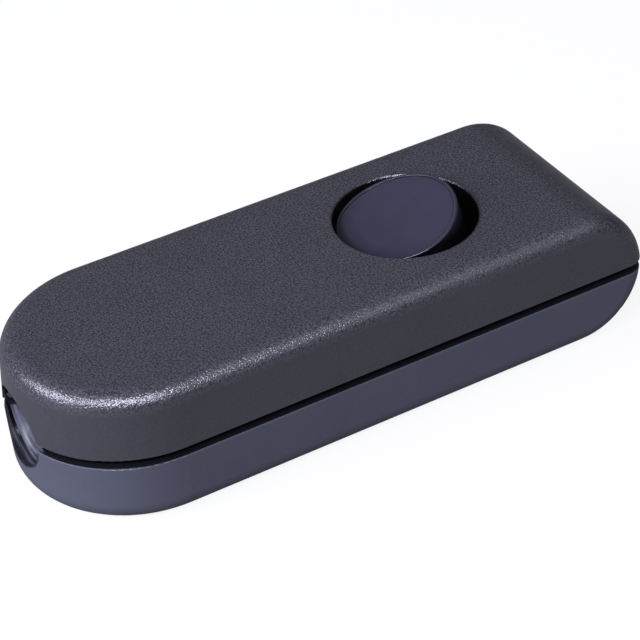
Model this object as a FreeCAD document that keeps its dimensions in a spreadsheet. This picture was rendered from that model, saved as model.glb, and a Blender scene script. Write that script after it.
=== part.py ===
import FreeCAD, Part

import math
import operator
import os
from types import SimpleNamespace

import Sketcher

# Inline cord switch with a round rocker, in millimetres.
# X runs along the housing from the round nose to the blunt end, Z is up,
# and the origin lies under the middle of the housing on the surface it rests on.

SIZES = [
    ("body_length", 64, "housing, nose to blunt end"),
    ("body_width", 24.5, "housing across, at the parting line"),
    ("split_height", 7.4, "middle of the parting groove above the table"),
    ("upper_height", 7.2, "top face above the middle of the groove"),
    ("groove_width", 0.86, "parting groove, edge to edge"),
    ("groove_depth", 1.6, "parting groove, from the side wall to the lip"),
    ("rim_round", 0.15, "round on the rims along the parting groove"),
    ("wall", 1.8, "floor, ceiling and side walls"),
    ("root_depth", 0.6, "bosses and ribs into the floor or the ceiling"),
    ("upper_draft", 5, "degrees that the upper walls lean in"),
    ("lower_draft", 1, "degrees that the lower walls lean in"),
    ("top_round", 2.1, "round on the upper outer edges"),
    ("bottom_round", 2.2, "round on the lower outer edges"),
    ("lip_thickness", 0.75, "lip that stands inside the upper wall"),
    ("lip_rise", 1.8, "lip above the middle of the groove"),
    ("lip_clearance", 0.1, "play round the lip"),
    ("seat_gap", 0.1, "play between stacked bosses"),
    ("entry_radius", 3.3, "cord entry bore"),
    ("mouth_radius", 4.05, "cord entry at its mouth"),
    ("flare_start", 0.6, "blunt end, from its face to the flare of the entry"),
    ("flare_depth", 1.1, "length of that flare"),
    ("ring_start", 0.95, "nose, from its tip to the ring cut behind the mouth"),
    ("ring_width", 0.3, "that ring along the cord"),
    ("ring_radius", 4.5, "that ring"),
    ("bell_radius", 3.9, "nose bore where it starts, behind the ring"),
    ("bell_depth", 1.3, "length over which the nose bore narrows"),
    ("collar_depth", 5.3, "cord entry, from the nose inwards"),
    ("end_collar_depth", 3.5, "cord entry, from the blunt end inwards"),
    ("collar_half_width", 4.5, "half width of the block round a cord entry"),
    ("collar_wall", 1.2, "that block above and below the bore"),
    ("collar_bite", 0.1, "that block into the end wall"),
    ("rocker_inset", 20.8, "rocker pivot from the blunt end"),
    ("opening_radius", 7.25, "round opening in the top face"),
    ("opening_edge", 0.3, "round on the edge of the opening"),
    ("shroud_wall", 1.0, "ring that hangs under the opening"),
    ("shroud_drop", 2.2, "that ring below the ceiling"),
    ("pivot_depth", 4.0, "rocker pivot below the top face"),
    ("rocker_tilt", 14, "degrees that the rocker leans from level"),
    ("rocker_radius", 6.22, "rocker at its rim"),
    ("rocker_rise", 4.03, "middle of the dished face above the pivot"),
    ("rocker_dish", 37, "radius of the dished face"),
    ("rocker_blank_rise", 5.2, "rocker above the pivot before the dish is cut"),
    ("rocker_drop", 1.6, "rocker skirt below the pivot"),
    ("rocker_draft", 2, "degrees that the rocker skirt opens downwards"),
    ("rocker_rim", 0.36, "width of the raised rim of the rocker"),
    ("rim_rise", 0.1, "that rim above the dished face"),
    ("rim_outer_edge", 0.22, "round on the outer edge of that rim"),
    ("rim_inner_edge", 0.08, "round on the inner edge of that rim"),
    ("rocker_skirt", 1.2, "thickness of the rocker skirt"),
    ("rocker_face", 1.7, "thickness of the rocker face at its middle"),
    ("trunnion_radius", 1.5, "rocker trunnions"),
    ("trunnion_reach", 8.2, "end of a trunnion from the middle"),
    ("bearing_play", 0.06, "radial play of the trunnions"),
    ("cheek_inside", 6.75, "inner face of a bearing cheek from the middle"),
    ("cheek_thickness", 1.6, "bearing cheek"),
    ("cheek_half_width", 2.8, "half width of a bearing cheek along the housing"),
    ("cheek_drop", 1.9, "bearing cheek below the pivot"),
    ("snap_half_width", 1.3, "half width of the snap slot under a bearing"),
    ("plunger_radius", 1.2, "plunger and its round tip"),
    ("plunger_play", 0.08, "radial play of the plunger in its bore"),
    ("plunger_length", 4.3, "plunger from its shoulder to the middle of its tip"),
    ("pilot_radius", 0.55, "pin that centres the spring"),
    ("pilot_length", 0.7, "length of that pin"),
    ("bore_wall", 0.65, "wall of the tube round the plunger"),
    ("tip_reach", 2.4, "middle of the plunger's round tip below the end of that tube"),
    ("spring_height", 2.6, "spring as fitted"),
    ("spring_radius", 0.88, "spring, to the middle of the wire"),
    ("spring_wire", 0.24, "spring wire"),
    ("spring_pitch", 0.7, "rise of one turn"),
    ("spring_play", 0.03, "play between the spring and its seats"),
    ("bridge_axis", 3.3, "axis of the contact bridge above the table"),
    ("bridge_tilt", 6, "degrees that the contact bridge leans from level"),
    ("bridge_thickness", 0.7, "contact bridge"),
    ("bridge_half_width", 2.4, "half width of the contact bridge"),
    ("bridge_reach", 6.5, "contact bridge from its axis to its end"),
    ("bridge_gap", 0.12, "play between the plunger tip and the bridge"),
    ("lug_radius", 0.6, "round lugs that carry the bridge"),
    ("lug_reach", 3.4, "end of a lug from the middle"),
    ("lug_play", 0.06, "radial play of the lugs"),
    ("contact_place", 5.2, "contact from the axis of the bridge"),
    ("contact_radius", 1.2, "contact head"),
    ("contact_height", 0.5, "contact head"),
    ("contact_dome", 2.5, "radius of the domed contact face"),
    ("contact_shank", 0.7, "radius of the riveted shank"),
    ("contact_gap", 0.06, "play between the closed contacts"),
    ("strip_thickness", 0.8, "brass strips"),
    ("strip_half_width", 1.4, "half width of the pivot strip"),
    ("ear_thickness", 0.8, "ears that carry the bridge"),
    ("ear_half_length", 1.3, "half length of an ear"),
    ("ear_rise", 0.75, "ear above the axis of the bridge"),
    ("ear_play", 0.2, "play between the bridge and an ear"),
    ("seat_half_length", 1.9, "half length of the fixed contact's seat"),
    ("seat_half_width", 1.8, "half width of the fixed contact's seat"),
    ("pillar_length", 4.6, "terminal pillar along the housing"),
    ("pillar_width", 4.4, "terminal pillar across"),
    ("pillar_top", 7.2, "top of the terminal pillars above the table"),
    ("end_pillar_inset", 11.0, "pillars on the blunt side, from the blunt end"),
    ("through_half_width", 1.0, "half width of the through strip"),
    ("wire_hole_radius", 1.3, "hole for a bared conductor"),
    ("wire_hole_height", 4.6, "that hole above the table"),
    ("thread_play", 0.05, "radial play drawn between a screw and its hole"),
    ("terminal_screw_radius", 1.45, "terminal screw"),
    ("terminal_screw_length", 3.6, "terminal screw under its head"),
    ("terminal_head_radius", 1.9, "head of a terminal screw"),
    ("terminal_head_height", 1.2, "head of a terminal screw"),
    ("slot_width", 0.6, "slot in a screw head"),
    ("slot_depth", 0.6, "slot in a screw head"),
    ("head_edge", 0.3, "chamfer on the edge of a screw head"),
    ("point_chamfer", 0.4, "chamfer on the point of a screw"),
    ("stop_half_length", 0.6, "half length of the stops under the raised arm"),
    ("fence_thickness", 1.0, "fence between the two conductors"),
    ("fence_top", 7.8, "top of the fence above the table"),
    ("fence_overhang", 0.4, "fence past a pillar"),
    ("nose_clamp_inset", 9.0, "cord clamp behind the nose, from its tip"),
    ("end_clamp_inset", 5.8, "cord clamp behind the blunt end, from its face"),
    ("post_radius", 2.1, "posts under the clamp bars"),
    ("post_rise", 0.6, "top of the posts above the middle of the groove"),
    ("bar_half_width", 2.0, "half width of a clamp bar along the housing"),
    ("bar_gap", 0.2, "corner of a clamp bar from the lip in the round nose"),
    ("bar_overhang", 2.2, "clamp screw from the end of its bar"),
    ("bar_thickness", 1.8, "clamp bar"),
    ("bar_round", 1.0, "round on the corners of a clamp bar"),
    ("ridge_height", 0.7, "gripping ridge under a clamp bar"),
    ("ridge_half_width", 0.7, "half width of a gripping ridge"),
    ("ridge_gap", 2.8, "end of a gripping ridge from the clamp screw"),
    ("anvil_rise", 0.1, "anvil under the cord above the bottom of the entry bore"),
    ("anvil_half_length", 1.7, "half length of the anvil along the housing"),
    ("clamp_screw_radius", 1.2, "clamp screw"),
    ("clamp_screw_length", 5.6, "clamp screw under its head"),
    ("clamp_head_radius", 1.9, "head of a clamp screw"),
    ("clamp_head_height", 1.2, "head of a clamp screw"),
    ("end_screw_inset", 11.6, "housing screw on the blunt side, from the blunt end"),
    ("boss_gap", 0.15, "boss round a housing nut from the lip"),
    ("lower_boss_radius", 2.8, "boss round a housing screw, lower shell"),
    ("upper_boss_radius", 3.4, "boss round a housing nut, upper shell"),
    ("housing_screw_radius", 1.25, "housing screw"),
    ("screw_past_nut", 0.3, "housing screw past its nut"),
    ("screw_end_gap", 0.4, "room past the end of a housing screw"),
    ("housing_head_radius", 2.2, "head of a housing screw"),
    ("housing_head_height", 1.5, "head of a housing screw"),
    ("housing_head_play", 0.25, "play round the head in its recess"),
    ("recess_depth", 2.3, "recess for the head of a housing screw"),
    ("nut_flats", 5.0, "housing nut across flats"),
    ("nut_height", 2.0, "housing nut"),
    ("nut_play", 0.06, "play round the nut"),
    ("cut_margin", 1.0, "how far a cut runs past the piece"),
]


class Size:
    """A length with the sheet formula that gives it."""

    def __init__(self, value, text):
        self.value = float(value)
        self.text = text

    def __add__(self, other):
        return joined(self, other, "+", operator.add)

    def __radd__(self, other):
        return joined(other, self, "+", operator.add)

    def __sub__(self, other):
        return joined(self, other, "-", operator.sub)

    def __rsub__(self, other):
        return joined(other, self, "-", operator.sub)

    def __mul__(self, other):
        return joined(self, other, "*", operator.mul)

    def __rmul__(self, other):
        return joined(other, self, "*", operator.mul)

    def __truediv__(self, other):
        return joined(self, other, "/", operator.truediv)

    def __neg__(self):
        return Size(-self.value, "(0 - %s)" % self.text)


def sized(number):
    return number if isinstance(number, Size) else Size(number, "(%r)" % float(number))


def joined(first, second, sign, work):
    first = sized(first)
    second = sized(second)
    return Size(work(first.value, second.value), "(%s %s %s)" % (first.text, sign, second.text))


def sine(angle):
    return Size(math.sin(math.radians(angle.value)), "sin(%s * 1deg)" % angle.text)


def cosine(angle):
    return Size(math.cos(math.radians(angle.value)), "cos(%s * 1deg)" % angle.text)


def tangent(angle):
    return Size(math.tan(math.radians(angle.value)), "tan(%s * 1deg)" % angle.text)


def root(number):
    return Size(math.sqrt(number.value), "sqrt(%s)" % number.text)


doc = FreeCAD.newDocument("CordSwitch")
sheet = doc.addObject("Spreadsheet::Sheet", "Sizes")
for row, (alias, value, note) in enumerate(SIZES, start=1):
    sheet.set("A%d" % row, note)
    sheet.set("B%d" % row, str(value))
    sheet.setAlias("B%d" % row, alias)
doc.recompute()
s = SimpleNamespace(**{alias: Size(value, "Sizes." + alias) for alias, value, note in SIZES})

MATCH = 0.02  # how near an edge lies to a size that picks it

# Places that several pieces share
half_length = s.body_length / 2
half_width = s.body_width / 2
nose_centre = half_width - half_length
inner_half_width = half_width - s.wall
rocker_place = half_length - s.rocker_inset
top_face = s.split_height + s.upper_height
ceiling = top_face - s.wall
upper_rim = s.split_height + s.groove_width / 2
lower_rim = s.split_height - s.groove_width / 2
lip_outside = s.groove_depth
lip_inside = s.groove_depth + s.lip_thickness
lip_half_width = half_width - lip_inside
pivot_height = top_face - s.pivot_depth
arm_rise = s.rocker_tilt
arm_bend = s.rocker_tilt + s.bridge_tilt
valley = s.bridge_thickness / 2 / cosine(arm_bend)
tip_drop = (pivot_height - s.bridge_axis - valley) * cosine(arm_rise) - s.bridge_gap - s.plunger_radius
plunger_shoulder = s.plunger_length - tip_drop
bore_end = plunger_shoulder + s.spring_height + s.spring_play * 2
bore_start = s.tip_reach - tip_drop
arm_underside = s.bridge_thickness / 2 + s.contact_height
dome_offset = arm_underside - s.contact_dome
contact_x = rocker_place + s.contact_place * cosine(arm_rise) + dome_offset * sine(arm_rise)
contact_top = (
    s.bridge_axis + s.contact_place * sine(arm_rise) - dome_offset * cosine(arm_rise)
    - s.contact_dome - s.contact_gap
)
seat_top = contact_top - s.contact_height
post_top = s.split_height + s.post_rise
anvil_top = s.split_height - s.entry_radius + s.anvil_rise
housing_screw_length = (
    s.split_height + s.seat_gap + s.nut_play + s.nut_height + s.screw_past_nut - s.recess_depth
)

# Along the housing: clamp, housing screw, pillars and bridge share the room with equal gaps
bridge_end = rocker_place - s.bridge_reach
nose_clamp_place = s.nose_clamp_inset - half_length
end_clamp_place = half_length - s.end_clamp_inset
nose_gap = (
    bridge_end - nose_clamp_place - s.bar_half_width - s.upper_boss_radius * 2 - s.pillar_length
) / 3
nose_screw_place = nose_clamp_place + s.bar_half_width + nose_gap + s.upper_boss_radius
nose_pillar_place = bridge_end - nose_gap - s.pillar_length / 2
end_pillar_place = half_length - s.end_pillar_inset

# Across the housing: housing screw, switched pillar, fence and through pillar do the same
screw_offset = lip_half_width - s.boss_gap - s.upper_boss_radius
cross_gap = (
    inner_half_width + screw_offset - s.upper_boss_radius - s.terminal_head_radius
    - s.pillar_width * 1.5 - s.fence_thickness
) / 4
live_offset = s.upper_boss_radius + cross_gap + s.terminal_head_radius - screw_offset
fence_place = live_offset + s.pillar_width / 2 + cross_gap
through_offset = fence_place + s.fence_thickness + cross_gap + s.pillar_width / 2
SCREW_PLACES = [
    (nose_screw_place, screw_offset),
    (half_length - s.end_screw_inset, -screw_offset),
]

# The clamp bars just fit between the walls where the nose is rounding off
nose_run = half_width - s.nose_clamp_inset + s.bar_half_width
bar_half_length = root(lip_half_width * lip_half_width - nose_run * nose_run) - s.bar_gap
post_offset = bar_half_length - s.bar_overhang


def fail(message):
    raise RuntimeError(message)


def new_body(label):
    body = doc.addObject("PartDesign::Body", label)
    body.Label = label
    return body


def new_sketch(body, plane, offset=0, lean=None):
    """An empty sketch on one of the body's own planes, moved along that plane's normal.

    With lean, the sketch is turned by that many degrees about its own upright axis.
    """
    support = [item for item in body.Origin.OriginFeatures if item.Role == plane][0]
    sketch = body.newObject("Sketcher::SketchObject", body.Name + "_sketch")
    sketch.AttachmentSupport = [(support, "")]
    sketch.MapMode = "FlatFace"
    offset = sized(offset)
    if offset.value:
        shift = FreeCAD.Vector(0, 0, offset.value)
        sketch.AttachmentOffset = FreeCAD.Placement(shift, FreeCAD.Rotation())
        sketch.setExpression("AttachmentOffset.Base.z", offset.text)
    if lean:
        turn = FreeCAD.Rotation(FreeCAD.Vector(0, 1, 0), lean.value)
        sketch.AttachmentOffset = FreeCAD.Placement(FreeCAD.Vector(), turn)
        sketch.setExpression("AttachmentOffset.Rotation.Angle", lean.text + " * 1deg")
    return sketch


def bind(sketch, constraint, size):
    index = sketch.addConstraint(constraint)
    sketch.setExpression("Constraints[%d]" % index, size.text)


def pin(sketch, edge, point, x, y):
    """Fix one point of an edge at the coordinates x and y."""
    for kind, axis, value in (("DistanceX", -2, sized(x)), ("DistanceY", -1, sized(y))):
        if value.value:
            constraint = Sketcher.Constraint(kind, -1, 1, edge, point, value.value)
            bind(sketch, constraint, value)
        else:
            sketch.addConstraint(Sketcher.Constraint("PointOnObject", edge, point, axis))


def arc_between(start, end, radius):
    """Arc from start to end; a positive radius turns left, a negative one right."""
    chord = end.sub(start)
    side = FreeCAD.Vector(-chord.y, chord.x, 0).normalize()
    depth = math.sqrt(max(radius * radius - chord.Length ** 2 / 4, 0))
    centre = (start + end) * 0.5 + side * math.copysign(depth, radius)
    first, last = (start, end) if radius > 0 else (end, start)
    circle = Part.Circle(centre, FreeCAD.Vector(0, 0, 1), abs(radius))
    angles = [math.atan2(point.y - centre.y, point.x - centre.x) for point in (first, last)]
    return Part.ArcOfCircle(circle, angles[0], angles[1])


def outline(sketch, corners):
    """Close a line through the corners, each (x, y) or (x, y, radius of the arc after it)."""
    points = [FreeCAD.Vector(sized(c[0]).value, sized(c[1]).value, 0) for c in corners]
    ends = []
    for index, corner in enumerate(corners):
        start = points[index]
        end = points[(index + 1) % len(points)]
        if len(corner) == 2:
            edge = sketch.addGeometry(Part.LineSegment(start, end), False)
            ends.append((edge, 1, 2))
        else:
            edge = sketch.addGeometry(arc_between(start, end, corner[2].value), False)
            ends.append((edge, 1, 2) if corner[2].value > 0 else (edge, 2, 1))
    for index, corner in enumerate(corners):
        edge, start, _ = ends[index]
        before, _, last = ends[index - 1]
        sketch.addConstraint(Sketcher.Constraint("Coincident", before, last, edge, start))
        pin(sketch, edge, start, corner[0], corner[1])
        if len(corner) == 3:
            radius = corner[2] if corner[2].value > 0 else -corner[2]
            bind(sketch, Sketcher.Constraint("Radius", edge, radius.value), radius)


def rectangle(sketch, left, right, low, high):
    outline(sketch, [(left, low), (right, low), (right, high), (left, high)])


def circle(sketch, x, y, radius):
    centre = FreeCAD.Vector(sized(x).value, sized(y).value, 0)
    edge = sketch.addGeometry(Part.Circle(centre, FreeCAD.Vector(0, 0, 1), radius.value), False)
    bind(sketch, Sketcher.Constraint("Radius", edge, radius.value), radius)
    pin(sketch, edge, 3, x, y)


def bullet(sketch, inset=0):
    """Plan of the housing: a half round nose, straight sides and a square blunt end."""
    radius = half_width - inset
    tip = inset - half_length
    end = half_length - inset
    outline(sketch, [
        (nose_centre, -radius), (end, -radius), (end, radius),
        (nose_centre, radius, radius), (tip, 0, radius),
    ])


def feature(body, kind, sketch, **settings):
    """Add a sketched feature, and check that it changed the volume the right way."""
    before = body.Shape.Volume if body.Tip else 0
    made = body.newObject("PartDesign::" + kind, body.Name + "_" + kind.lower())
    made.Profile = sketch
    for name, setting in settings.items():
        if isinstance(setting, Size):
            setattr(made, name, setting.value)
            made.setExpression(name, setting.text)
        else:
            setattr(made, name, setting)
    doc.recompute()
    if "Invalid" in made.State or made.Shape.isNull():
        fail("%s failed in %s" % (made.Name, body.Label))
    cuts = kind in ("Pocket", "Groove")
    grown = body.Shape.Volume - before
    if (grown >= 0) if cuts else (grown <= 0):
        fail("%s changed nothing in %s" % (made.Name, body.Label))
    return made


def pad(body, sketch, length, **settings):
    return feature(body, "Pad", sketch, Length=length, **settings)


def pocket(body, sketch, length, **settings):
    return feature(body, "Pocket", sketch, Length=length, **settings)


def round_edges(body, chosen, radius, kind="Fillet"):
    """Fillet or chamfer the edges of the body's tip for which chosen(edge) is true."""
    base = body.Tip
    names = ["Edge%d" % n for n, edge in enumerate(base.Shape.Edges, start=1) if chosen(edge)]
    if not names:
        fail("no edge to round in %s" % body.Label)
    made = body.newObject("PartDesign::" + kind, body.Name + "_" + kind.lower())
    made.Base = (base, names)
    slot = "Radius" if kind == "Fillet" else "Size"
    setattr(made, slot, radius.value)
    made.setExpression(slot, radius.text)
    doc.recompute()
    if "Invalid" in made.State or made.Shape.isNull():
        fail("%s failed in %s" % (made.Name, body.Label))
    return made


def place(body, x, y, z, tilt=None):
    """Put a body at its place, leaning by tilt degrees about the Y axis."""
    turn = FreeCAD.Rotation(FreeCAD.Vector(0, 1, 0), tilt.value if tilt else 0)
    spot = FreeCAD.Vector(sized(x).value, sized(y).value, sized(z).value)
    body.Placement = FreeCAD.Placement(spot, turn)
    for axis, value in (("x", x), ("y", y), ("z", z)):
        if isinstance(value, Size):
            body.setExpression("Placement.Base." + axis, value.text)
    if tilt:
        body.setExpression("Placement.Rotation.Angle", tilt.text + " * 1deg")
    doc.recompute()


def block(body, left, right, near, far, low, high):
    """Add a square block to a body."""
    sketch = new_sketch(body, "XY_Plane", low)
    rectangle(sketch, left, right, near, far)
    pad(body, sketch, sized(high) - low)


def post(body, x, y, radius, low, high):
    """Add an upright round post to a body."""
    sketch = new_sketch(body, "XY_Plane", low)
    circle(sketch, x, y, radius)
    pad(body, sketch, sized(high) - low)


def hole(body, x, y, radius, low, high):
    """Cut an upright round hole in a body."""
    sketch = new_sketch(body, "XY_Plane", high)
    circle(sketch, x, y, radius)
    pocket(body, sketch, sized(high) - low)


def lies(value, size):
    return abs(value - sized(size).value) < MATCH


def blunt_end(body, upper):
    """Round the blunt end of a shell over, as seen from the side."""
    radius = s.upper_height if upper else s.split_height
    face = top_face if upper else sized(0)
    past = half_length + s.wall
    sketch = new_sketch(body, "XZ_Plane")
    corners = [(half_length - radius, face), (past, face), (past, s.split_height)]
    corners.append((half_length, s.split_height, radius if upper else -radius))
    outline(sketch, corners)
    pocket(body, sketch, s.body_width * 2, Midplane=True)


def hollow(body, upper):
    """Cut the inside of a shell: a half round nose, then a trough with a rounded end."""
    depth = ceiling - upper_rim if upper else lower_rim - s.wall
    radius = (s.upper_height if upper else s.split_height) - s.wall
    face = ceiling if upper else s.wall
    rim = upper_rim if upper else lower_rim
    side = half_length - s.wall - radius
    rise = s.groove_width / 2
    reach = side + root(radius * radius - rise * rise)
    sketch = new_sketch(body, "XY_Plane", rim)
    circle(sketch, nose_centre, 0, inner_half_width)
    pocket(body, sketch, depth, Reversed=upper)
    sketch = new_sketch(body, "XZ_Plane")
    outline(sketch, [
        (nose_centre, rim), (nose_centre, face),
        (side, face, -radius if upper else radius), (reach, rim),
    ])
    pocket(body, sketch, inner_half_width * 2, Midplane=True)


def outer_edges(upper):
    """Pick the outer edges of a shell that is not hollow yet, apart from its rim."""
    face = top_face if upper else sized(0)
    rim = upper_rim if upper else lower_rim

    def chosen(edge):
        box = edge.BoundBox
        if lies(box.ZLength, 0):
            return lies(box.ZMin, face) and not lies(box.XLength, 0)
        return box.XMin > (half_length - s.split_height - s.flare_start).value

    return chosen


def rim_edges(rim):
    """Pick the outer edges of a shell along the parting groove."""
    return lambda edge: lies(edge.BoundBox.ZMin, rim) and lies(edge.BoundBox.ZMax, rim)


def cord_entry(body, end):
    """Bore a cord entry in a shell; end is 1 at the blunt end and -1 at the nose.

    The blunt end's mouth is a plain flare. Behind the nose's mouth, a ring is cut round the
    bore, and the bore starts with a rounded bell.
    """
    depth = s.end_collar_depth if end > 0 else s.collar_depth
    inner = (half_length - depth - s.wall) * end
    outer = (half_length + s.wall) * end
    if end > 0:
        wide = half_length - s.flare_start
        middle = [(wide - s.flare_depth, s.entry_radius), (wide, s.mouth_radius)]
    else:
        front = s.ring_start - half_length
        back = front + s.ring_width
        rise = s.bell_radius - s.entry_radius
        curve = (s.bell_depth * s.bell_depth + rise * rise) / (rise * 2)
        middle = [
            (back + s.bell_depth, s.entry_radius, -curve), (back, s.bell_radius),
            (back, s.ring_radius), (front, s.ring_radius), (front, s.mouth_radius),
        ]
    sketch = new_sketch(body, "XY_Plane", s.split_height)
    ends = [(outer, s.mouth_radius), (outer, 0)]
    outline(sketch, [(inner, 0), (inner, s.entry_radius)] + middle + ends)
    feature(body, "Groove", sketch, ReferenceAxis=(sketch, ["H_Axis"]), Angle=360.0)


def collar(body, end, upper):
    """Add the block that a cord entry is bored through."""
    depth = s.end_collar_depth if end > 0 else s.collar_depth
    inner = (half_length - depth) * end
    outer = (half_length - s.wall + s.collar_bite) * end
    reach = s.entry_radius + s.collar_wall
    low = upper_rim if upper else s.split_height - reach
    high = s.split_height + reach if upper else lower_rim
    left, right = (inner, outer) if end > 0 else (outer, inner)
    block(body, left, right, -s.collar_half_width, s.collar_half_width, low, high)


def make_upper_shell():
    body = new_body("upper_shell")
    sketch = new_sketch(body, "XY_Plane", upper_rim)
    bullet(sketch)
    pad(body, sketch, top_face - upper_rim, TaperAngle=-s.upper_draft)
    blunt_end(body, True)
    round_edges(body, outer_edges(True), s.top_round)
    round_edges(body, rim_edges(upper_rim), s.rim_round)
    hollow(body, True)
    for end in (-1, 1):
        collar(body, end, True)
    for x, y in SCREW_PLACES:
        post(body, x, y, s.upper_boss_radius, s.split_height + s.seat_gap, ceiling + s.root_depth)
    sketch = new_sketch(body, "XY_Plane", ceiling - s.shroud_drop)
    circle(sketch, rocker_place, 0, s.opening_radius)
    circle(sketch, rocker_place, 0, s.opening_radius + s.shroud_wall)
    pad(body, sketch, s.shroud_drop + s.root_depth)
    bearing_cheeks(body)
    hole(body, rocker_place, 0, s.opening_radius, ceiling, top_face + s.wall)
    round_edges(body, opening_rim, s.opening_edge)
    for x, y in SCREW_PLACES:
        nut_seat(body, x, y)
    lip_recess(body)
    for end in (-1, 1):
        cord_entry(body, end)
    return body


def opening_rim(edge):
    box = edge.BoundBox
    round_one = lies(box.XLength, s.opening_radius * 2) and lies(box.YLength, s.opening_radius * 2)
    return round_one and lies(box.ZMin, top_face) and lies(box.ZMax, top_face)


def bearing_cheeks(body):
    """Hang two cheeks under the ceiling, with snap-in bearings for the trunnions."""
    left = rocker_place - s.cheek_half_width
    right = rocker_place + s.cheek_half_width
    low = pivot_height - s.cheek_drop
    far = s.cheek_inside + s.cheek_thickness
    block(body, left, right, s.cheek_inside, far, low, ceiling + s.root_depth)
    block(body, left, right, -far, -s.cheek_inside, low, ceiling + s.root_depth)
    sketch = new_sketch(body, "XZ_Plane")
    circle(sketch, rocker_place, pivot_height, s.trunnion_radius + s.bearing_play)
    pocket(body, sketch, far * 2, Midplane=True)
    sketch = new_sketch(body, "XZ_Plane")
    rectangle(
        sketch, rocker_place - s.snap_half_width, rocker_place + s.snap_half_width,
        low, pivot_height,
    )
    pocket(body, sketch, far * 2, Midplane=True)


def nut_seat(body, x, y):
    """Cut a six-sided pocket for a nut, and the clearance hole over it."""
    low = s.split_height + s.seat_gap
    sketch = new_sketch(body, "XY_Plane", low)
    hexagon(sketch, x, y, s.nut_flats + s.nut_play * 2)
    pocket(body, sketch, s.nut_height + s.nut_play * 2, Reversed=True)
    top = s.recess_depth + housing_screw_length + s.screw_end_gap
    hole(body, x, y, s.housing_screw_radius + s.thread_play, low, top)


def hexagon(sketch, x, y, flats):
    side = flats / root(sized(3))
    outline(sketch, [
        (x + side, y), (x + side / 2, y + flats / 2), (x - side / 2, y + flats / 2),
        (x - side, y), (x - side / 2, y - flats / 2), (x + side / 2, y - flats / 2),
    ])


def lip_recess(body):
    """Thin the foot of the upper wall, so that the lower shell's lip fits inside it."""
    sketch = new_sketch(body, "XY_Plane", upper_rim)
    bullet(sketch, lip_outside - s.lip_clearance)
    bullet(sketch, lip_inside + s.lip_clearance)
    depth = s.lip_rise + s.lip_clearance * 2 - s.groove_width / 2
    pocket(body, sketch, depth, Reversed=True)


def make_lower_shell():
    body = new_body("lower_shell")
    sketch = new_sketch(body, "XY_Plane", lower_rim)
    bullet(sketch)
    pad(body, sketch, lower_rim, TaperAngle=-s.lower_draft, Reversed=True)
    blunt_end(body, False)
    round_edges(body, outer_edges(False), s.bottom_round)
    round_edges(body, rim_edges(lower_rim), s.rim_round)
    hollow(body, False)
    sketch = new_sketch(body, "XY_Plane", lower_rim - s.wall)
    bullet(sketch, lip_outside)
    bullet(sketch, lip_inside)
    pad(body, sketch, s.lip_rise + s.groove_width / 2 + s.wall)
    for end in (-1, 1):
        collar(body, end, False)
        cord_entry(body, end)
    for x, y in SCREW_PLACES:
        post(body, x, y, s.lower_boss_radius, s.wall - s.root_depth, s.split_height)
        hole(body, x, y, s.housing_screw_radius + s.thread_play * 4, 0, s.split_height)
        hole(body, x, y, s.housing_head_radius + s.housing_head_play, 0, s.recess_depth)
    for middle in (nose_clamp_place, end_clamp_place):
        clamp_seat(body, middle)
    for middle in (nose_pillar_place, end_pillar_place):
        reach = s.pillar_length / 2 + s.fence_overhang
        far = fence_place + s.fence_thickness
        low = s.wall - s.root_depth
        block(body, middle - reach, middle + reach, fence_place, far, low, s.fence_top)
    contact_supports(body)
    return body


def clamp_seat(body, middle):
    """Two posts for the screws of a clamp bar, and the anvil under the cord between them."""
    for side in (-1, 1):
        post(body, middle, post_offset * side, s.post_radius, s.wall - s.root_depth, post_top)
        hole(
            body, middle, post_offset * side, s.clamp_screw_radius + s.thread_play,
            s.wall, post_top,
        )
    block(
        body, middle - s.anvil_half_length, middle + s.anvil_half_length,
        s.post_radius - post_offset, post_offset - s.post_radius,
        s.wall - s.root_depth, anvil_top,
    )


def contact_supports(body):
    """A pad under the fixed contact, and two stops for the other arm of the bridge."""
    block(
        body, contact_x - s.seat_half_length, contact_x + s.seat_half_length,
        -s.seat_half_width, s.seat_half_width, s.wall - s.root_depth, seat_top - s.strip_thickness,
    )
    middle = rocker_place - s.contact_place
    half = s.stop_half_length
    drop = s.contact_place * tangent(arm_rise) - s.bridge_thickness / 2 / cosine(arm_rise)
    stop_top = s.bridge_axis + drop - (half * tangent(arm_rise) + s.contact_gap)
    near = s.strip_half_width + s.ear_play
    for low, high in ((near, s.bridge_half_width), (-s.bridge_half_width, -near)):
        block(body, middle - half, middle + half, low, high, s.wall - s.root_depth, stop_top)


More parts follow.
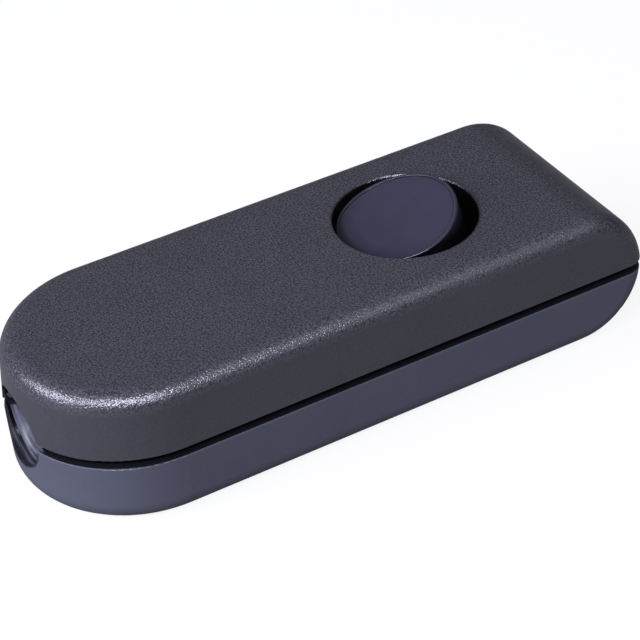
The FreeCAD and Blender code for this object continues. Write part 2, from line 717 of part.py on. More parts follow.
def make_rocker():
    """The button: a dished cap with a raised rim, on a skirt, with trunnions and a tube."""
    body = new_body("rocker_button")
    spread = (s.rocker_blank_rise + s.rocker_drop) * tangent(s.rocker_draft)
    inner = s.rocker_radius - s.rocker_rim
    post(body, 0, 0, inner, -s.rocker_drop, s.rocker_blank_rise)
    dish(body, s.rocker_rise)
    sketch = new_sketch(body, "XZ_Plane")
    outline(sketch, [
        (inner, -s.rocker_drop), (s.rocker_radius + spread, -s.rocker_drop),
        (s.rocker_radius, s.rocker_blank_rise), (inner, s.rocker_blank_rise),
    ])
    feature(body, "Revolution", sketch, ReferenceAxis=(sketch, ["V_Axis"]), Angle=360.0)
    dish(body, s.rocker_rise + s.rim_rise)
    round_edges(body, lambda edge: on_rim(edge, s.rocker_radius), s.rim_outer_edge)
    round_edges(body, lambda edge: on_rim(edge, inner), s.rim_inner_edge)
    sketch = new_sketch(body, "XZ_Plane")
    circle(sketch, 0, 0, s.trunnion_radius)
    pad(body, sketch, s.trunnion_reach * 2, Midplane=True)
    tube = s.plunger_radius + s.plunger_play + s.bore_wall
    inside = s.rocker_rise - s.rocker_face
    sketch = new_sketch(body, "XY_Plane", -s.rocker_drop)
    circle(sketch, 0, 0, s.rocker_radius - s.rocker_skirt)
    circle(sketch, 0, 0, tube)
    pocket(body, sketch, inside + s.rocker_drop, Reversed=True)
    post(body, 0, 0, tube, bore_start, inside)
    hole(body, 0, 0, s.plunger_radius + s.plunger_play, bore_start, bore_end)
    place(body, rocker_place, 0, pivot_height, -s.rocker_tilt)
    return body


def dish(body, height):
    """Cut the dished face, at this height over the pivot."""
    past = s.rocker_radius + s.cut_margin
    edge = height + s.rocker_dish - root(s.rocker_dish * s.rocker_dish - past * past)
    high = s.rocker_blank_rise + s.cut_margin
    sketch = new_sketch(body, "XZ_Plane")
    outline(sketch, [(-past, edge, s.rocker_dish), (past, edge), (past, high), (-past, high)])
    pocket(body, sketch, past * 2, Midplane=True)


def on_rim(edge, radius):
    """Whether an edge lies on top of the raised rim, at this distance from its middle."""
    middle = edge.valueAt((edge.FirstParameter + edge.LastParameter) / 2)
    near = abs(math.hypot(middle.x, middle.y) - radius.value) < s.rocker_rim.value / 3
    return near and edge.BoundBox.ZMin > (s.rocker_rise + s.rim_rise / 2).value


def make_plunger():
    body = new_body("rocker_plunger")
    sketch = new_sketch(body, "XZ_Plane")
    outline(sketch, [
        (0, -tip_drop - s.plunger_radius, s.plunger_radius), (s.plunger_radius, -tip_drop),
        (s.plunger_radius, plunger_shoulder), (s.pilot_radius, plunger_shoulder),
        (s.pilot_radius, plunger_shoulder + s.pilot_length),
        (0, plunger_shoulder + s.pilot_length),
    ])
    feature(body, "Revolution", sketch, ReferenceAxis=(sketch, ["V_Axis"]), Angle=360.0)
    place(body, rocker_place, 0, pivot_height, -s.rocker_tilt)
    return body


def make_spring():
    body = new_body("rocker_spring")
    sketch = new_sketch(body, "XZ_Plane")
    foot = plunger_shoulder + s.spring_play + s.spring_wire / 2
    circle(sketch, s.spring_radius, foot, s.spring_wire / 2)
    feature(
        body, "AdditiveHelix", sketch, ReferenceAxis=(sketch, ["V_Axis"]), Mode="pitch-height-angle",
        Pitch=s.spring_pitch, Height=s.spring_height - s.spring_wire,
    )
    place(body, rocker_place, 0, pivot_height, -s.rocker_tilt)
    return body


def make_bridge():
    """Seesaw contact: a shallow V of strip that rocks on two round lugs."""
    body = new_body("contact_bridge")
    rise = s.bridge_reach * tangent(arm_bend)
    sketch = new_sketch(body, "XZ_Plane")
    outline(sketch, [
        (-s.bridge_reach, rise - valley), (0, -valley), (s.bridge_reach, rise - valley),
        (s.bridge_reach, rise + valley), (0, valley), (-s.bridge_reach, rise + valley),
    ])
    pad(body, sketch, s.bridge_half_width * 2, Midplane=True)
    sketch = new_sketch(body, "XZ_Plane")
    circle(sketch, 0, 0, s.lug_radius)
    pad(body, sketch, s.lug_reach * 2, Midplane=True)
    sketch = new_sketch(body, "XY_Plane", lean=-arm_bend)
    circle(sketch, s.contact_place, 0, s.contact_shank)
    pocket(body, sketch, s.bridge_thickness * 2, Midplane=True)
    place(body, rocker_place, 0, s.bridge_axis, s.bridge_tilt)
    return body


def make_moving_contact():
    """Silver rivet in the arm on the blunt side, domed on its lower face."""
    body = new_body("moving_contact")
    half = s.bridge_thickness / 2
    edge = half + s.contact_height - (
        s.contact_dome - root(s.contact_dome * s.contact_dome - s.contact_radius * s.contact_radius)
    )
    sketch = new_sketch(body, "XZ_Plane")
    outline(sketch, [
        (0, -arm_underside, s.contact_dome), (s.contact_radius, -edge),
        (s.contact_radius, -half), (s.contact_shank, -half),
        (s.contact_shank, half), (0, half),
    ])
    feature(body, "Revolution", sketch, ReferenceAxis=(sketch, ["V_Axis"]), Angle=360.0)
    x = rocker_place + s.contact_place * cosine(arm_rise)
    z = s.bridge_axis + s.contact_place * sine(arm_rise)
    place(body, x, 0, z, -arm_rise)
    return body


def make_fixed_contact():
    """Silver rivet in the fixed terminal, domed on its upper face."""
    body = new_body("fixed_contact")
    edge = s.contact_height - (
        s.contact_dome - root(s.contact_dome * s.contact_dome - s.contact_radius * s.contact_radius)
    )
    sketch = new_sketch(body, "XZ_Plane")
    outline(sketch, [
        (0, -s.strip_thickness), (s.contact_shank, -s.strip_thickness), (s.contact_shank, 0),
        (s.contact_radius, 0), (s.contact_radius, edge, s.contact_dome), (0, s.contact_height),
    ])
    feature(body, "Revolution", sketch, ReferenceAxis=(sketch, ["V_Axis"]), Angle=360.0)
    place(body, contact_x, 0, seat_top)
    return body


def pillar(body, x, y):
    """Add a brass pillar with a hole for the conductor and a tapped hole for its screw."""
    reach = s.pillar_length / 2
    half = s.pillar_width / 2
    block(body, x - reach, x + reach, y - half, y + half, s.wall, s.pillar_top)
    sketch = new_sketch(body, "YZ_Plane", x - s.pillar_length)
    circle(sketch, y, s.wire_hole_height, s.wire_hole_radius)
    pocket(body, sketch, s.pillar_length * 2, Reversed=True)
    low = s.wire_hole_height - s.wire_hole_radius - s.thread_play * 2
    hole(body, x, y, s.terminal_screw_radius + s.thread_play, low, s.pillar_top)


def make_pivot_terminal():
    """Brass strip with a pillar at one end and two ears that carry the contact bridge."""
    body = new_body("pivot_terminal")
    strip_top = s.wall + s.strip_thickness
    block(
        body, nose_pillar_place, rocker_place, -s.strip_half_width, s.strip_half_width,
        s.wall, strip_top,
    )
    outside = s.bridge_half_width + s.ear_play + s.ear_thickness
    left = rocker_place - s.ear_half_length
    right = rocker_place + s.ear_half_length
    block(body, left, right, -outside, outside, s.wall, strip_top)
    top = s.bridge_axis + s.ear_rise
    for near in (outside - s.ear_thickness, -outside):
        block(body, left, right, near, near + s.ear_thickness, s.wall, top)
    sketch = new_sketch(body, "XZ_Plane")
    notch = s.lug_radius + s.lug_play
    outline(sketch, [
        (rocker_place - notch, s.bridge_axis, notch), (rocker_place, s.bridge_axis - notch, notch),
        (rocker_place + notch, s.bridge_axis), (rocker_place + notch, top + s.lug_radius),
        (rocker_place - notch, top + s.lug_radius),
    ])
    pocket(body, sketch, outside * 2, Midplane=True)
    pillar(body, nose_pillar_place, live_offset)
    return body


def make_fixed_terminal():
    """Brass strip that carries the fixed contact, with a pillar at its other end."""
    body = new_body("fixed_terminal")
    block(
        body, contact_x - s.seat_half_length, end_pillar_place, -s.seat_half_width,
        s.seat_half_width, seat_top - s.strip_thickness, seat_top,
    )
    hole(body, contact_x, 0, s.contact_shank, seat_top - s.strip_thickness, seat_top)
    pillar(body, end_pillar_place, live_offset)
    return body


def make_through_terminal():
    """Brass strip with a pillar at each end, for the conductor that isn't switched."""
    body = new_body("through_terminal")
    block(
        body, nose_pillar_place, end_pillar_place,
        through_offset - s.through_half_width, through_offset + s.through_half_width,
        s.wall, s.wall + s.strip_thickness,
    )
    for x in (nose_pillar_place, end_pillar_place):
        pillar(body, x, through_offset)
    return body


def screw(label, x, y, seat, upwards, radius, length, head_radius, head_height):
    """One slotted screw; seat is the height of the face that its head bears on."""
    body = new_body(label)
    sketch = new_sketch(body, "XZ_Plane")
    outline(sketch, [
        (0, -length), (radius - s.point_chamfer, -length), (radius, s.point_chamfer - length),
        (radius, 0), (head_radius, 0), (head_radius, head_height), (0, head_height),
    ])
    feature(body, "Revolution", sketch, ReferenceAxis=(sketch, ["V_Axis"]), Angle=360.0)
    sketch = new_sketch(body, "XY_Plane", head_height)
    past = head_radius + s.cut_margin
    rectangle(sketch, -past, past, s.slot_width / -2, s.slot_width / 2)
    pocket(body, sketch, s.slot_depth)
    round_edges(body, lambda edge: head_rim(edge, head_radius, head_height), s.head_edge, "Chamfer")
    place(body, x, y, seat, sized(180) if upwards else None)
    return body


def head_rim(edge, head_radius, head_height):
    box = edge.BoundBox
    return lies(box.ZMin, head_height) and lies(box.ZMax, head_height) and (
        len(edge.Vertexes) == 2 and edge.Curve.TypeId == "Part::GeomCircle"
        and lies(edge.Curve.Radius, head_radius)
    )


def group(label, pieces):
    """Put identical pieces together as one sub-part of separate solids."""
    made = doc.addObject("Part::Compound", label)
    made.Label = label
    made.Links = pieces
    doc.recompute()
    return made


def terminal_screw(label, x, y):
    return screw(
        label, x, y, s.pillar_top + s.thread_play, False, s.terminal_screw_radius,
        s.terminal_screw_length, s.terminal_head_radius, s.terminal_head_height,
    )


def make_terminal_screws():
    through = [
        terminal_screw("through_screw_%d" % number, x, through_offset)
        for number, x in enumerate((nose_pillar_place, end_pillar_place), start=1)
    ]
    return [
        terminal_screw("pivot_terminal_screw", nose_pillar_place, live_offset),
        terminal_screw("fixed_terminal_screw", end_pillar_place, live_offset),
        group("through_terminal_screws", through),
    ]


def make_clamp(side, middle):
    """Clamp bar with a gripping ridge under it, and its two screws."""
    body = new_body(side + "_clamp_bar")
    top = post_top + s.bar_thickness
    block(
        body, middle - s.bar_half_width, middle + s.bar_half_width,
        -bar_half_length, bar_half_length, post_top, top,
    )
    sketch = new_sketch(body, "XZ_Plane")
    outline(sketch, [
        (middle - s.ridge_half_width, post_top), (middle, post_top - s.ridge_height),
        (middle + s.ridge_half_width, post_top), (middle, post_top + s.ridge_height),
    ])
    pad(body, sketch, (post_offset - s.ridge_gap) * 2, Midplane=True)
    round_edges(body, lambda edge: bar_corner(edge, top), s.bar_round)
    screws = []
    for number, y in enumerate((-post_offset, post_offset), start=1):
        hole(body, middle, y, s.clamp_screw_radius + s.thread_play * 3, post_top, top)
        screws.append(screw(
            "%s_clamp_screw_%d" % (side, number), middle, y, top, False, s.clamp_screw_radius,
            s.clamp_screw_length, s.clamp_head_radius, s.clamp_head_height,
        ))
    return [body, group(side + "_clamp_screws", screws)]


def bar_corner(edge, top):
    box = edge.BoundBox
    return lies(box.ZLength, s.bar_thickness) and lies(box.ZMax, top)


def make_housing_fasteners():
    """Screws from below, and the nuts that the upper shell holds."""
    screws = []
    nuts = []
    for number, (x, y) in enumerate(SCREW_PLACES, start=1):
        screws.append(screw(
            "housing_screw_%d" % number, x, y, s.recess_depth, True, s.housing_screw_radius,
            housing_screw_length, s.housing_head_radius, s.housing_head_height,
        ))
        nut = new_body("housing_nut_%d" % number)
        low = s.split_height + s.seat_gap + s.nut_play
        sketch = new_sketch(nut, "XY_Plane", low)
        hexagon(sketch, x, y, s.nut_flats)
        pad(nut, sketch, s.nut_height)
        hole(nut, x, y, s.housing_screw_radius + s.thread_play, low, low + s.nut_height)
        nuts.append(nut)
    return [group("housing_screws", screws), group("housing_nuts", nuts)]


parts = [
    make_upper_shell(), make_lower_shell(), make_rocker(), make_plunger(), make_spring(),
    make_bridge(), make_moving_contact(), make_pivot_terminal(), make_fixed_terminal(),
    make_fixed_contact(), make_through_terminal(),
]
parts += make_terminal_screws()
parts += make_clamp("nose", nose_clamp_place)
parts += make_clamp("end", end_clamp_place)
parts += make_housing_fasteners()

doc.recompute()
for item in doc.Objects:
    if "Invalid" in item.State or "Error" in item.State:
        fail("%s is in state %s" % (item.Label, item.State))
for part in parts:
    if part.Shape.isNull() or not part.Shape.isValid() or not part.Shape.Solids:
        fail("%s has no valid shape" % part.Label)

os.makedirs("parts", exist_ok=True)
for part in parts:
    part.Shape.exportStep("parts/%s.step" % part.Label)
    print("%-26s solids %d volume %9.3f" % (part.Label, len(part.Shape.Solids), part.Shape.Volume))
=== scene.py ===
import math

import bpy
from mathutils import Matrix, Vector

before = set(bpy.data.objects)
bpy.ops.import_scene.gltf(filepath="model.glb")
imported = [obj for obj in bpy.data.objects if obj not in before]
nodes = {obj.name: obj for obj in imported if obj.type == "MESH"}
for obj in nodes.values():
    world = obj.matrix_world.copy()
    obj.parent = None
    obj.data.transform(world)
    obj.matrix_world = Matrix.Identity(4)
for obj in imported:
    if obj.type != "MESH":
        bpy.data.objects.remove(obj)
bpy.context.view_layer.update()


# Lower shell
# The bottom half of the housing, moulded in dark grey ABS with a fine satin texture.
# It carries every inner piece, and its lip, in painted shade, shows as the black line of the
# parting groove.


def colour(hex_code):
    """An sRGB hex code as a linear colour."""
    channels = [int(hex_code[place:place + 2], 16) / 255 for place in (1, 3, 5)]
    linear = [c / 12.92 if c <= 0.04045 else ((c + 0.055) / 1.055) ** 2.4 for c in channels]
    return (*linear, 1)


def add_node(tree, kind, values=None, links=None, **settings):
    """Add one node with its settings, the values of its sockets and the links into it."""
    node = tree.nodes.new("ShaderNode" + kind)
    for name, setting in settings.items():
        setattr(node, name, setting)
    for socket, value in (values or {}).items():
        node.inputs[socket].default_value = value
    for socket, output in (links or {}).items():
        tree.links.new(output, node.inputs[socket])
    return node


def new_material(name):
    """A material with no nodes in it yet."""
    material = bpy.data.materials.new(name)
    material.use_nodes = True
    material.node_tree.nodes.clear()
    return material


def finish_surface(material, values, links):
    """Close a material with its surface shader."""
    tree = material.node_tree
    shader = add_node(tree, "BsdfPrincipled", values, links)
    add_node(tree, "OutputMaterial", links={"Surface": shader.outputs["BSDF"]})


def painted_recess_shade(tree, reach):
    """A painted shade factor: 1 on open faces, down to 0.1 where faces within the reach close
    one in.
    """
    unoccluded = add_node(tree, "AmbientOcclusion", {"Distance": reach}, samples=8).outputs["AO"]
    return add_node(
        tree, "MapRange", {"From Min": 0.6, "From Max": 1.0, "To Min": 0.1, "To Max": 1.0},
        {"Value": unoccluded},
    ).outputs["Result"]


def dress(material, *names):
    """Give CAD nodes their material."""
    for name in names:
        nodes[name].data.materials.clear()
        nodes[name].data.materials.append(material)


# Satin ABS: the fine texture spreads the light evenly, so the wall shades softly and has
# only a faint grain, 0.09 mm from peak to peak, over slow clouds of tone, 5.6 mm apart.
satin_grain = 0.00009
satin_clouds = 0.0056
satin_abs = new_material("satin_abs")
tree = satin_abs.node_tree
place = add_node(tree, "TexCoord").outputs["Object"]
grain = add_node(
    tree, "TexNoise", {"Scale": 1 / satin_grain, "Detail": 2.0, "Roughness": 0.6},
    {"Vector": place},
).outputs["Fac"]
clouds = add_node(
    tree, "TexNoise", {"Scale": 1 / satin_clouds, "Detail": 3.0}, {"Vector": place},
).outputs["Fac"]
tint = add_node(
    tree, "Mix", {"A": colour("#454650"), "B": colour("#4C4D58")}, {"Factor": clouds},
    data_type="RGBA",
).outputs["Result"]
speck = add_node(
    tree, "MapRange", {"From Min": 0.3, "From Max": 0.7, "To Min": 0.86, "To Max": 1.14},
    {"Value": grain},
).outputs["Result"]

# The groove isn't textured, so it is glossier, and painted shade makes it nearly black where
# the shells close it in. The foot of the wall, which the floor closes in, gets no painted
# shade and stays as the rest of the wall.
groove_reach = 0.003
foot_height = 0.003
foot_fade = 0.001
position = add_node(tree, "SeparateXYZ", None, {"Vector": place})
foot = add_node(
    tree, "MapRange",
    {
        "From Min": foot_height, "From Max": foot_height + foot_fade,
        "To Min": 1.0, "To Max": 0.0,
    },
    {"Value": position.outputs["Z"]},
).outputs["Result"]
# Painted shade in the groove; the same factor makes the groove glossier.
groove_shade_and_gloss = add_node(
    tree, "Math", None, {0: painted_recess_shade(tree, groove_reach), 1: foot}, operation="MAXIMUM",
).outputs["Value"]
dullness = add_node(
    tree, "MapRange", {"To Min": 0.2, "To Max": 0.46}, {"Value": groove_shade_and_gloss},
).outputs["Result"]

# The mouth of the nose entry has a painted shade round its rim, and painted streaks of
# reflection run round the bore behind it, along turned lines. They are drawn 0.25 mm apart,
# coarse enough to show. Rim and lines go by the distance from the entry's middle line.
entry_height = 0.0074
rim_radius = 0.0043
rim_fade = 0.0002
mouth_end = -0.0313
mouth_fade = 0.0001
painted_rim_shade_level = 0.22
line_pitch = 0.00025
line_stretch = 0.08
from_middle = add_node(
    tree, "VectorMath", {1: (0, 0, entry_height)}, {0: place}, operation="SUBTRACT",
).outputs["Vector"]
across = add_node(
    tree, "VectorMath", {1: (0, 1, 1)}, {0: from_middle}, operation="MULTIPLY",
).outputs["Vector"]
radius = add_node(tree, "VectorMath", None, {0: across}, operation="LENGTH").outputs["Value"]
outside = add_node(
    tree, "MapRange", {"From Min": rim_radius - rim_fade, "From Max": rim_radius},
    {"Value": radius},
).outputs["Result"]
behind = add_node(
    tree, "MapRange", {"From Min": mouth_end - mouth_fade, "From Max": mouth_end + mouth_fade},
    {"Value": position.outputs["X"]},
).outputs["Result"]
off_rim = add_node(
    tree, "Math", None, {0: outside, 1: behind}, operation="MAXIMUM",
).outputs["Value"]
# Painted shade on the mouth's rim.
painted_rim_shade = add_node(
    tree, "MapRange", {"To Min": painted_rim_shade_level, "To Max": 1.0}, {"Value": off_rim},
).outputs["Result"]
round_bore = add_node(
    tree, "Mapping", {"Scale": (1.0, line_stretch, line_stretch)}, {"Vector": place},
    vector_type="POINT",
).outputs["Vector"]
turned = add_node(
    tree, "TexNoise", {"Scale": 1 / line_pitch, "Detail": 2.0}, {"Vector": round_bore},
).outputs["Fac"]
# Painted streaks of reflection along the turned lines, from 0.3 to 1.7 times the colour.
painted_line_streaks = add_node(
    tree, "MapRange", {"From Min": 0.35, "From Max": 0.65, "To Min": 0.3, "To Max": 1.7},
    {"Value": turned},
).outputs["Result"]
bore_painted_streaks = add_node(
    tree, "MapRange", {"To Max": 1.0}, {"Value": outside, "To Min": painted_line_streaks},
).outputs["Result"]

# The colour takes the grain, the painted rim shade, the painted streaks and the painted groove
# shade.
shade = tint
for factor in (speck, painted_rim_shade, bore_painted_streaks, groove_shade_and_gloss):
    shade = add_node(
        tree, "VectorMath", None, {0: shade, "Scale": factor}, operation="SCALE",
    ).outputs["Vector"]
relief = add_node(
    tree, "Bump", {"Strength": 0.35, "Distance": 0.00001}, {"Height": grain},
).outputs["Normal"]
finish_surface(
    satin_abs, {"IOR": 1.53}, {"Base Color": shade, "Roughness": dullness, "Normal": relief},
)
dress(satin_abs, "lower_shell")


# Terminals and contact bridge
# Stamped from half hard brass strip, bent and tapped. The strips lie on the floor of the
# lower shell, and the bridge rocks on two lugs in the ears of the pivot terminal.

# Brass strip: rolled, so its faces carry fine lines along the strip, 0.05 mm apart.
rolling_pitch = 0.00005
rolling_stretch = 0.02
brass_strip = new_material("brass_strip")
tree = brass_strip.node_tree
place = add_node(tree, "TexCoord").outputs["Object"]
along = add_node(
    tree, "Mapping", {"Scale": (rolling_stretch, 1.0, 1.0)}, {"Vector": place},
    vector_type="POINT",
).outputs["Vector"]
lines = add_node(
    tree, "TexNoise", {"Scale": 1 / rolling_pitch, "Detail": 1.0}, {"Vector": along},
).outputs["Fac"]
tint = add_node(
    tree, "Mix", {"A": colour("#B08D4A"), "B": colour("#D9BC79")}, {"Factor": lines},
    data_type="RGBA",
).outputs["Result"]
relief = add_node(
    tree, "Bump", {"Strength": 0.2, "Distance": 0.000005}, {"Height": lines},
).outputs["Normal"]
finish_surface(
    brass_strip, {"Metallic": 1.0, "Roughness": 0.28}, {"Base Color": tint, "Normal": relief},
)
dress(brass_strip, "pivot_terminal", "fixed_terminal", "through_terminal", "contact_bridge")


# Contacts
# Silver rivets, pressed into the bridge and the fixed terminal. Their domes meet when the
# rocker's nose side is up.

# Silver: soft, so switching has left it slightly pitted, 0.1 mm from pit to pit.
pit_spacing = 0.0001
silver_contact = new_material("silver_contact")
tree = silver_contact.node_tree
place = add_node(tree, "TexCoord").outputs["Object"]
pits = add_node(
    tree, "TexVoronoi", {"Scale": 1 / pit_spacing}, {"Vector": place},
).outputs["Distance"]
tint = add_node(
    tree, "Mix", {"A": colour("#B9B6AE"), "B": colour("#E6E4DE")}, {"Factor": pits},
    data_type="RGBA",
).outputs["Result"]
relief = add_node(
    tree, "Bump", {"Strength": 0.3, "Distance": 0.00001}, {"Height": pits},
).outputs["Normal"]
finish_surface(
    silver_contact, {"Metallic": 1.0, "Roughness": 0.3}, {"Base Color": tint, "Normal": relief},
)
dress(silver_contact, "moving_contact", "fixed_contact")


# Screws and nuts
# Slotted steel screws, zinc plated. The terminal screws press the conductors into their
# pillars, and the housing screws go up through the lower shell into the nuts.

# Zinc plated steel: a thin bright coat with slight clouds, 1.1 mm apart. The rolled thread
# has a pitch of 0.45 mm, and shows as rings round the shank. A wave texture of scale 1
# turns 20 radians in a metre.
zinc_clouds = 0.0011
thread_pitch = 0.00045
wave_turn = 20
zinc_steel = new_material("zinc_steel")
tree = zinc_steel.node_tree
place = add_node(tree, "TexCoord").outputs["Object"]
clouds = add_node(
    tree, "TexNoise", {"Scale": 1 / zinc_clouds, "Detail": 4.0}, {"Vector": place},
).outputs["Fac"]
tint = add_node(
    tree, "Mix", {"A": colour("#9C9DA0"), "B": colour("#C9CACC")}, {"Factor": clouds},
    data_type="RGBA",
).outputs["Result"]
dullness = add_node(
    tree, "MapRange", {"To Min": 0.25, "To Max": 0.42}, {"Value": clouds},
).outputs["Result"]
rings = add_node(
    tree, "TexWave", {"Scale": math.tau / wave_turn / thread_pitch}, {"Vector": place},
    wave_type="BANDS", bands_direction="Z", wave_profile="TRI",
).outputs["Fac"]
relief = add_node(
    tree, "Bump", {"Strength": 0.5, "Distance": 0.00008}, {"Height": rings},
).outputs["Normal"]
finish_surface(
    zinc_steel, {"Metallic": 1.0},
    {"Base Color": tint, "Roughness": dullness, "Normal": relief},
)
dress(
    zinc_steel, "pivot_terminal_screw", "fixed_terminal_screw", "through_terminal_screws",
    "nose_clamp_screws", "end_clamp_screws", "housing_screws", "housing_nuts",
)


# Cord clamps
# Two moulded bars, each pulled down on the cord by two screws into posts of the lower shell.
# A ridge under each bar bites into the cord's sheath.

# Glass filled nylon: hard and dull, with short pale fibres that just show, 0.15 mm long.
fibre_length = 0.00015
filled_nylon = new_material("filled_nylon")
tree = filled_nylon.node_tree
place = add_node(tree, "TexCoord").outputs["Object"]
fibres = add_node(
    tree, "TexNoise", {"Scale": 1 / fibre_length, "Detail": 1.0, "Distortion": 1.5},
    {"Vector": place},
).outputs["Fac"]
tint = add_node(
    tree, "Mix", {"A": colour("#1B1B1D"), "B": colour("#2C2C2F")}, {"Factor": fibres},
    data_type="RGBA",
).outputs["Result"]
finish_surface(filled_nylon, {"Roughness": 0.55, "IOR": 1.53}, {"Base Color": tint})
dress(filled_nylon, "nose_clamp_bar", "end_clamp_bar")


# Plunger and spring
# A turned nylon pin slides in the rocker's tube with a steel spring over it. Together they
# snap the bridge from one side to the other.

# Natural nylon: milky, and a little uneven, in clouds 0.7 mm apart.
milk_clouds = 0.0007
natural_nylon = new_material("natural_nylon")
tree = natural_nylon.node_tree
place = add_node(tree, "TexCoord").outputs["Object"]
milk = add_node(
    tree, "TexNoise", {"Scale": 1 / milk_clouds, "Detail": 2.0}, {"Vector": place},
).outputs["Fac"]
tint = add_node(
    tree, "Mix", {"A": colour("#D8D3C4"), "B": colour("#E9E5DA")}, {"Factor": milk},
    data_type="RGBA",
).outputs["Result"]
finish_surface(natural_nylon, {"Roughness": 0.4, "IOR": 1.53}, {"Base Color": tint})
dress(natural_nylon, "rocker_plunger")

# Spring wire: hard drawn, so its grey is broken up by fine drawing marks, 0.08 mm apart.
drawing_marks = 0.00008
spring_wire = new_material("spring_wire")
tree = spring_wire.node_tree
place = add_node(tree, "TexCoord").outputs["Object"]
lines = add_node(
    tree, "TexNoise", {"Scale": 1 / drawing_marks, "Detail": 1.0}, {"Vector": place},
).outputs["Fac"]
tint = add_node(
    tree, "Mix", {"A": colour("#86888C"), "B": colour("#B4B6BA")}, {"Factor": lines},
    data_type="RGBA",
).outputs["Result"]
finish_surface(spring_wire, {"Metallic": 1.0, "Roughness": 0.3}, {"Base Color": tint})
dress(spring_wire, "rocker_spring")


# Rocker
# A round button moulded in smooth ABS with a violet cast. Its face is slightly dished for
# the finger, and its trunnions snap into bearings under the top of the upper shell.

# Polished ABS: it takes a soft reflection, and handling has left faint marks, 2 mm apart,
# that show mostly in the gloss. It gets painted shade, nearly black, where the opening
# closes it in.
mark_spacing = 0.002
gap_reach = 0.0025
polished_abs = new_material("polished_abs")
tree = polished_abs.node_tree
place = add_node(tree, "TexCoord").outputs["Object"]
marks = add_node(
    tree, "TexNoise", {"Scale": 1 / mark_spacing, "Detail": 4.0}, {"Vector": place},
).outputs["Fac"]
tint = add_node(
    tree, "Mix", {"A": colour("#2D2C37"), "B": colour("#32313D")}, {"Factor": marks},
    data_type="RGBA",
).outputs["Result"]
# Painted shade in the gap round the rocker.
shade = add_node(
    tree, "VectorMath", None, {0: tint, "Scale": painted_recess_shade(tree, gap_reach)},
    operation="SCALE",
).outputs["Vector"]
dullness = add_node(
    tree, "MapRange", {"To Min": 0.17, "To Max": 0.27}, {"Value": marks},
).outputs["Result"]
finish_surface(polished_abs, {"IOR": 1.53}, {"Base Color": shade, "Roughness": dullness})
dress(polished_abs, "rocker_button")


# Upper shell
# The top half of the housing, moulded in the same ABS from a spark eroded cavity. The
# screws pull it down over the lip of the lower shell.

# Spark textured ABS: small craters with bright rims, 0.18 mm across, so an edge that
# catches the light sparkles, over slow clouds of tone, 6.7 mm apart. The walls are smoother,
# so that they leave the mould, and painted shade makes them a little darker than the top.
# Walls and top are told apart by how far up a face looks. Where the rocker's opening closes
# the shell in, it gets painted shade too.
crater_size = 0.00018
spark_clouds = 0.0067
wall_facing = 0.1
top_facing = 0.5
spark_abs = new_material("spark_abs")
tree = spark_abs.node_tree
place = add_node(tree, "TexCoord").outputs["Object"]
craters = add_node(
    tree, "TexNoise", {"Scale": 1 / crater_size, "Detail": 1.0, "Roughness": 0.6},
    {"Vector": place},
).outputs["Fac"]
clouds = add_node(
    tree, "TexNoise", {"Scale": 1 / spark_clouds, "Detail": 3.0}, {"Vector": place},
).outputs["Fac"]
tint = add_node(
    tree, "Mix", {"A": colour("#36353A"), "B": colour("#3C3B40")}, {"Factor": clouds},
    data_type="RGBA",
).outputs["Result"]
facing = add_node(tree, "NewGeometry").outputs["Normal"]
upward = add_node(tree, "SeparateXYZ", None, {"Vector": facing}).outputs["Z"]
depth = add_node(
    tree, "MapRange",
    {"From Min": wall_facing, "From Max": top_facing, "To Min": 0.15, "To Max": 1.0},
    {"Value": upward},
).outputs["Result"]
# Painted shade: the walls a little darker than the top.
wall_painted_shade = add_node(
    tree, "MapRange",
    {"From Min": wall_facing, "From Max": top_facing, "To Min": 0.86, "To Max": 1.0},
    {"Value": upward},
).outputs["Result"]
speck = add_node(
    tree, "MapRange", {"From Min": 0.3, "From Max": 0.7, "To Min": -0.65, "To Max": 0.65},
    {"Value": craters},
).outputs["Result"]
gain = add_node(
    tree, "Math", None, {0: speck, 1: depth, 2: wall_painted_shade}, operation="MULTIPLY_ADD",
).outputs["Value"]
# The colour takes the texture, the painted wall shade, and painted shade in the rocker's
# opening.
shade = tint
for factor in (gain, painted_recess_shade(tree, gap_reach)):
    shade = add_node(
        tree, "VectorMath", None, {0: shade, "Scale": factor}, operation="SCALE",
    ).outputs["Vector"]
relief = add_node(
    tree, "Bump", {"Distance": 0.00005}, {"Height": craters, "Strength": depth},
).outputs["Normal"]
finish_surface(
    spark_abs, {"Roughness": 0.23, "IOR": 1.53, "Specular IOR Level": 0.85},
    {"Base Color": shade, "Normal": relief},
)
dress(spark_abs, "upper_shell")


# Floor
# A plain white surface under the switch. Most of it is a glow that the camera sees as white,
# and the rest keeps the soft shadow. In gloss the glow shows at a tenth, because at full it
# washes out the dark plastic.
floor_size = 6.0
glow_share = 0.88
glow_in_gloss = 0.1
bpy.ops.mesh.primitive_plane_add(size=floor_size, location=(0, 0, 0))
floor = bpy.context.object
floor.name = "floor"
white_paper = new_material("white_paper")
tree = white_paper.node_tree
path = add_node(tree, "LightPath")
seen = add_node(
    tree, "Math", {1: glow_in_gloss},
    {0: path.outputs["Is Glossy Ray"], 2: path.outputs["Is Camera Ray"]},
    operation="MULTIPLY_ADD",
).outputs["Value"]
glow = add_node(
    tree, "Emission", {"Color": (1, 1, 1, 1)}, {"Strength": seen},
).outputs["Emission"]
paper = add_node(tree, "BsdfDiffuse", {"Color": colour("#DDDDDD")}).outputs["BSDF"]
blend = add_node(tree, "MixShader", {"Fac": glow_share}, {1: paper, 2: glow})
add_node(tree, "OutputMaterial", links={"Surface": blend.outputs["Shader"]})
floor.data.materials.append(white_paper)


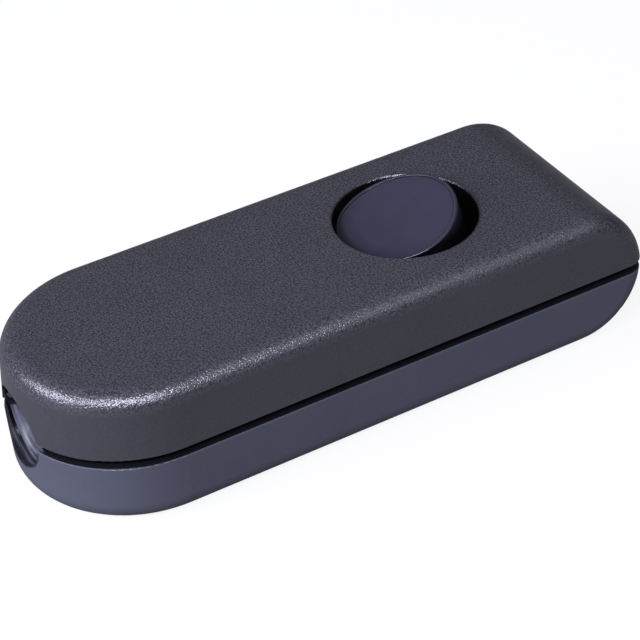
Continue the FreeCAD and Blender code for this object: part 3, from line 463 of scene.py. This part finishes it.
# Light
# A dim room that the camera sees as white, and four soft boxes: a broad one at the nose that
# stays out of the gloss, two long thin ones whose reflections make the bright line along the
# edge of the top, and a weak one on the right.
room_light = 0.06
world = bpy.data.worlds.new("studio")
bpy.context.scene.world = world
world.use_nodes = True
tree = world.node_tree
tree.nodes.clear()
path = add_node(tree, "LightPath")
level = add_node(
    tree, "MapRange", {"To Min": room_light, "To Max": 1.0},
    {"Value": path.outputs["Is Camera Ray"]},
).outputs["Result"]
room = add_node(tree, "Background", {"Color": (1, 1, 1, 1)}, {"Strength": level})
add_node(tree, "OutputWorld", links={"Surface": room.outputs["Background"]})


def soft_box(name, turn, rise, width, height, radiance, in_gloss=True):
    """An area light 0.6 m from the switch, placed by two angles in degrees."""
    reach = 0.6
    lamp = bpy.data.lights.new(name, "AREA")
    lamp.shape = "RECTANGLE"
    lamp.size = width
    lamp.size_y = height
    lamp.energy = math.pi * width * height * radiance
    lamp.color = colour("#E8EAFF")[:3]
    around = math.radians(turn)
    above = math.radians(rise)
    away = Vector((
        math.cos(above) * math.cos(around), math.cos(above) * math.sin(around), math.sin(above),
    ))
    box = bpy.data.objects.new(name, lamp)
    box.visible_glossy = in_gloss
    box.location = away * reach
    box.rotation_euler = (-away).to_track_quat("-Z", "Y").to_euler()
    bpy.context.scene.collection.objects.link(box)


soft_box("nose_box", turn=180, rise=22, width=0.6, height=0.6, radiance=5.2, in_gloss=False)
soft_box("key_box", turn=241, rise=50, width=0.54, height=0.08, radiance=31)
soft_box("left_box", turn=172, rise=37, width=0.4, height=0.09, radiance=21)
soft_box("right_box", turn=300, rise=45, width=0.5, height=0.5, radiance=0.62)


# Camera
# A long lens, above the near side and turned towards the nose, with a slight roll. The
# angles are in degrees round the aim, and the slide moves it within its own view.
azimuth = math.radians(-26.506)
elevation = math.radians(37.149)
roll = math.radians(-4.656)
distance = 0.203719
aim = Vector((0, 0, 0.0073))
slide = Vector((0.000869, -0.000809, distance))
lens = bpy.data.cameras.new("camera")
lens.sensor_width = 36
lens.lens = 115.65
lens.clip_start = 0.01
lens.clip_end = 10
camera = bpy.data.objects.new("camera", lens)
camera.matrix_world = (
    Matrix.Translation(aim) @ Matrix.Rotation(azimuth, 4, "Z")
    @ Matrix.Rotation(math.pi / 2 - elevation, 4, "X") @ Matrix.Rotation(roll, 4, "Z")
    @ Matrix.Translation(slide)
)
bpy.context.scene.collection.objects.link(camera)
bpy.context.scene.camera = camera
bpy.context.scene.view_settings.view_transform = "Standard"
